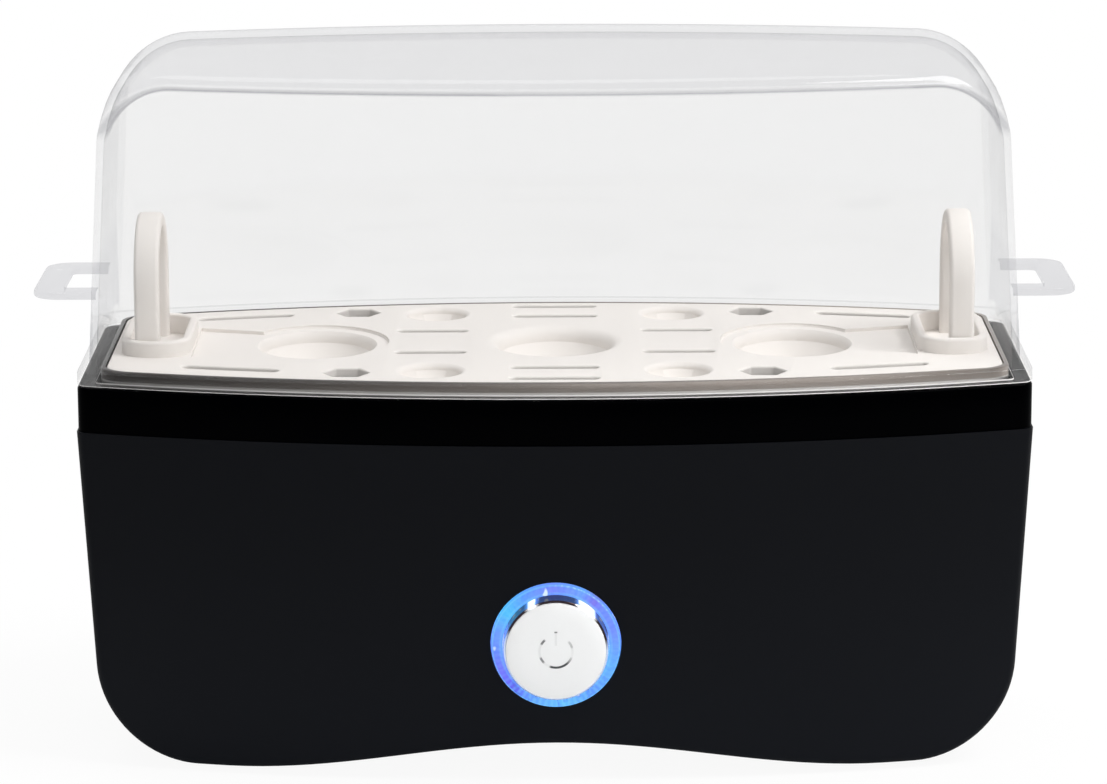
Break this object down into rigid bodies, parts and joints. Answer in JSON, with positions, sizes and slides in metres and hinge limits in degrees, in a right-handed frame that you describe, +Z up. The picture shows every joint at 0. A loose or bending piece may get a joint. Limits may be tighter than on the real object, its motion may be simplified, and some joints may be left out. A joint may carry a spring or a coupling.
{
  "type": "egg boiler",
  "caption": "Countertop electric egg boiler: bowed black body, steel water dish, moulded tray with egg cups and lifting arches, clear lid and a lit push button.",
  "frame": {"origin": "centre of the plane that the feet rest on, midway between the front and the back of the whole object", "axes": "+X to the right of someone facing the button, +Y to the back, +Z up"},
  "size_m": [0.2766, 0.123, 0.1867],
  "materials": {
    "satin_black": "satin moulded",
    "gloss_black": "high gloss",
    "clear_plastic": "clear polished",
    "ivory_plastic": "smooth satin",
    "stainless_steel": "fine brushed",
    "cast_aluminium": "as cast",
    "grey_silicone": "matt",
    "black_rubber": "matt",
    "zinc_steel": "zinc plated",
    "white_plastic": "satin",
    "chrome": "polished",
    "lit_blue_plastic": "clear tinted, lit from behind",
    "board_green": "solder mask",
    "component_black": "moulded",
    "led_lens": "clear lens",
    "lead_insulation": "smooth"
  },
  "bodies": {
    "base": {"lower_housing": "satin_black", "bottom_cover": "component_black", "foot_1": "black_rubber", "foot_2": "black_rubber", "foot_3": "black_rubber", "foot_4": "black_rubber", "base_screw_1": "zinc_steel", "base_screw_2": "zinc_steel", "base_screw_3": "zinc_steel", "base_screw_4": "zinc_steel", "upper_bezel": "gloss_black", "dish_seal": "grey_silicone", "heating_dish": "stainless_steel", "light_ring": "lit_blue_plastic", "control_board": "board_green", "board_screw_1": "zinc_steel", "board_screw_2": "zinc_steel", "push_switch": "component_black", "ring_led_1": "led_lens", "ring_led_2": "led_lens", "ring_led_3": "led_lens", "ring_led_4": "led_lens", "buzzer": "component_black", "relay": "component_black", "heater_plate": "cast_aluminium", "heating_element": "zinc_steel", "retaining_bar": "zinc_steel", "dish_stud_left": "zinc_steel", "dish_stud_right": "zinc_steel", "dish_nut_left": "zinc_steel", "dish_nut_right": "zinc_steel", "thermostat": "component_black", "thermal_fuse": "zinc_steel", "terminal_block": "component_black", "cord_gland": "black_rubber", "lead_live": "lead_insulation", "lead_neutral": "lead_insulation", "lead_board": "lead_insulation", "lead_return": "lead_insulation"},
    "tray": {"egg_tray": "ivory_plastic"},
    "lid": {"lid": "clear_plastic"},
    "button": {"button_cap": "white_plastic", "button_trim": "chrome", "switch_plunger": "component_black"}
  },
  "joints": [
    {"name": "tray_lift", "type": "slide", "parent": "base", "child": "tray", "axis": [0, 0, 1], "range_m": [0, 0.12]},
    {"name": "lid_lift", "type": "slide", "parent": "tray", "child": "lid", "axis": [0, 0, 1], "range_m": [0, 0.12]},
    {"name": "button_press", "type": "slide", "parent": "base", "child": "button", "axis": [0, 0.9986, 0.0523], "range_m": [0, 0.0015], "stiffness_N_per_m": 300, "springref_m": -0.001}
  ]
}
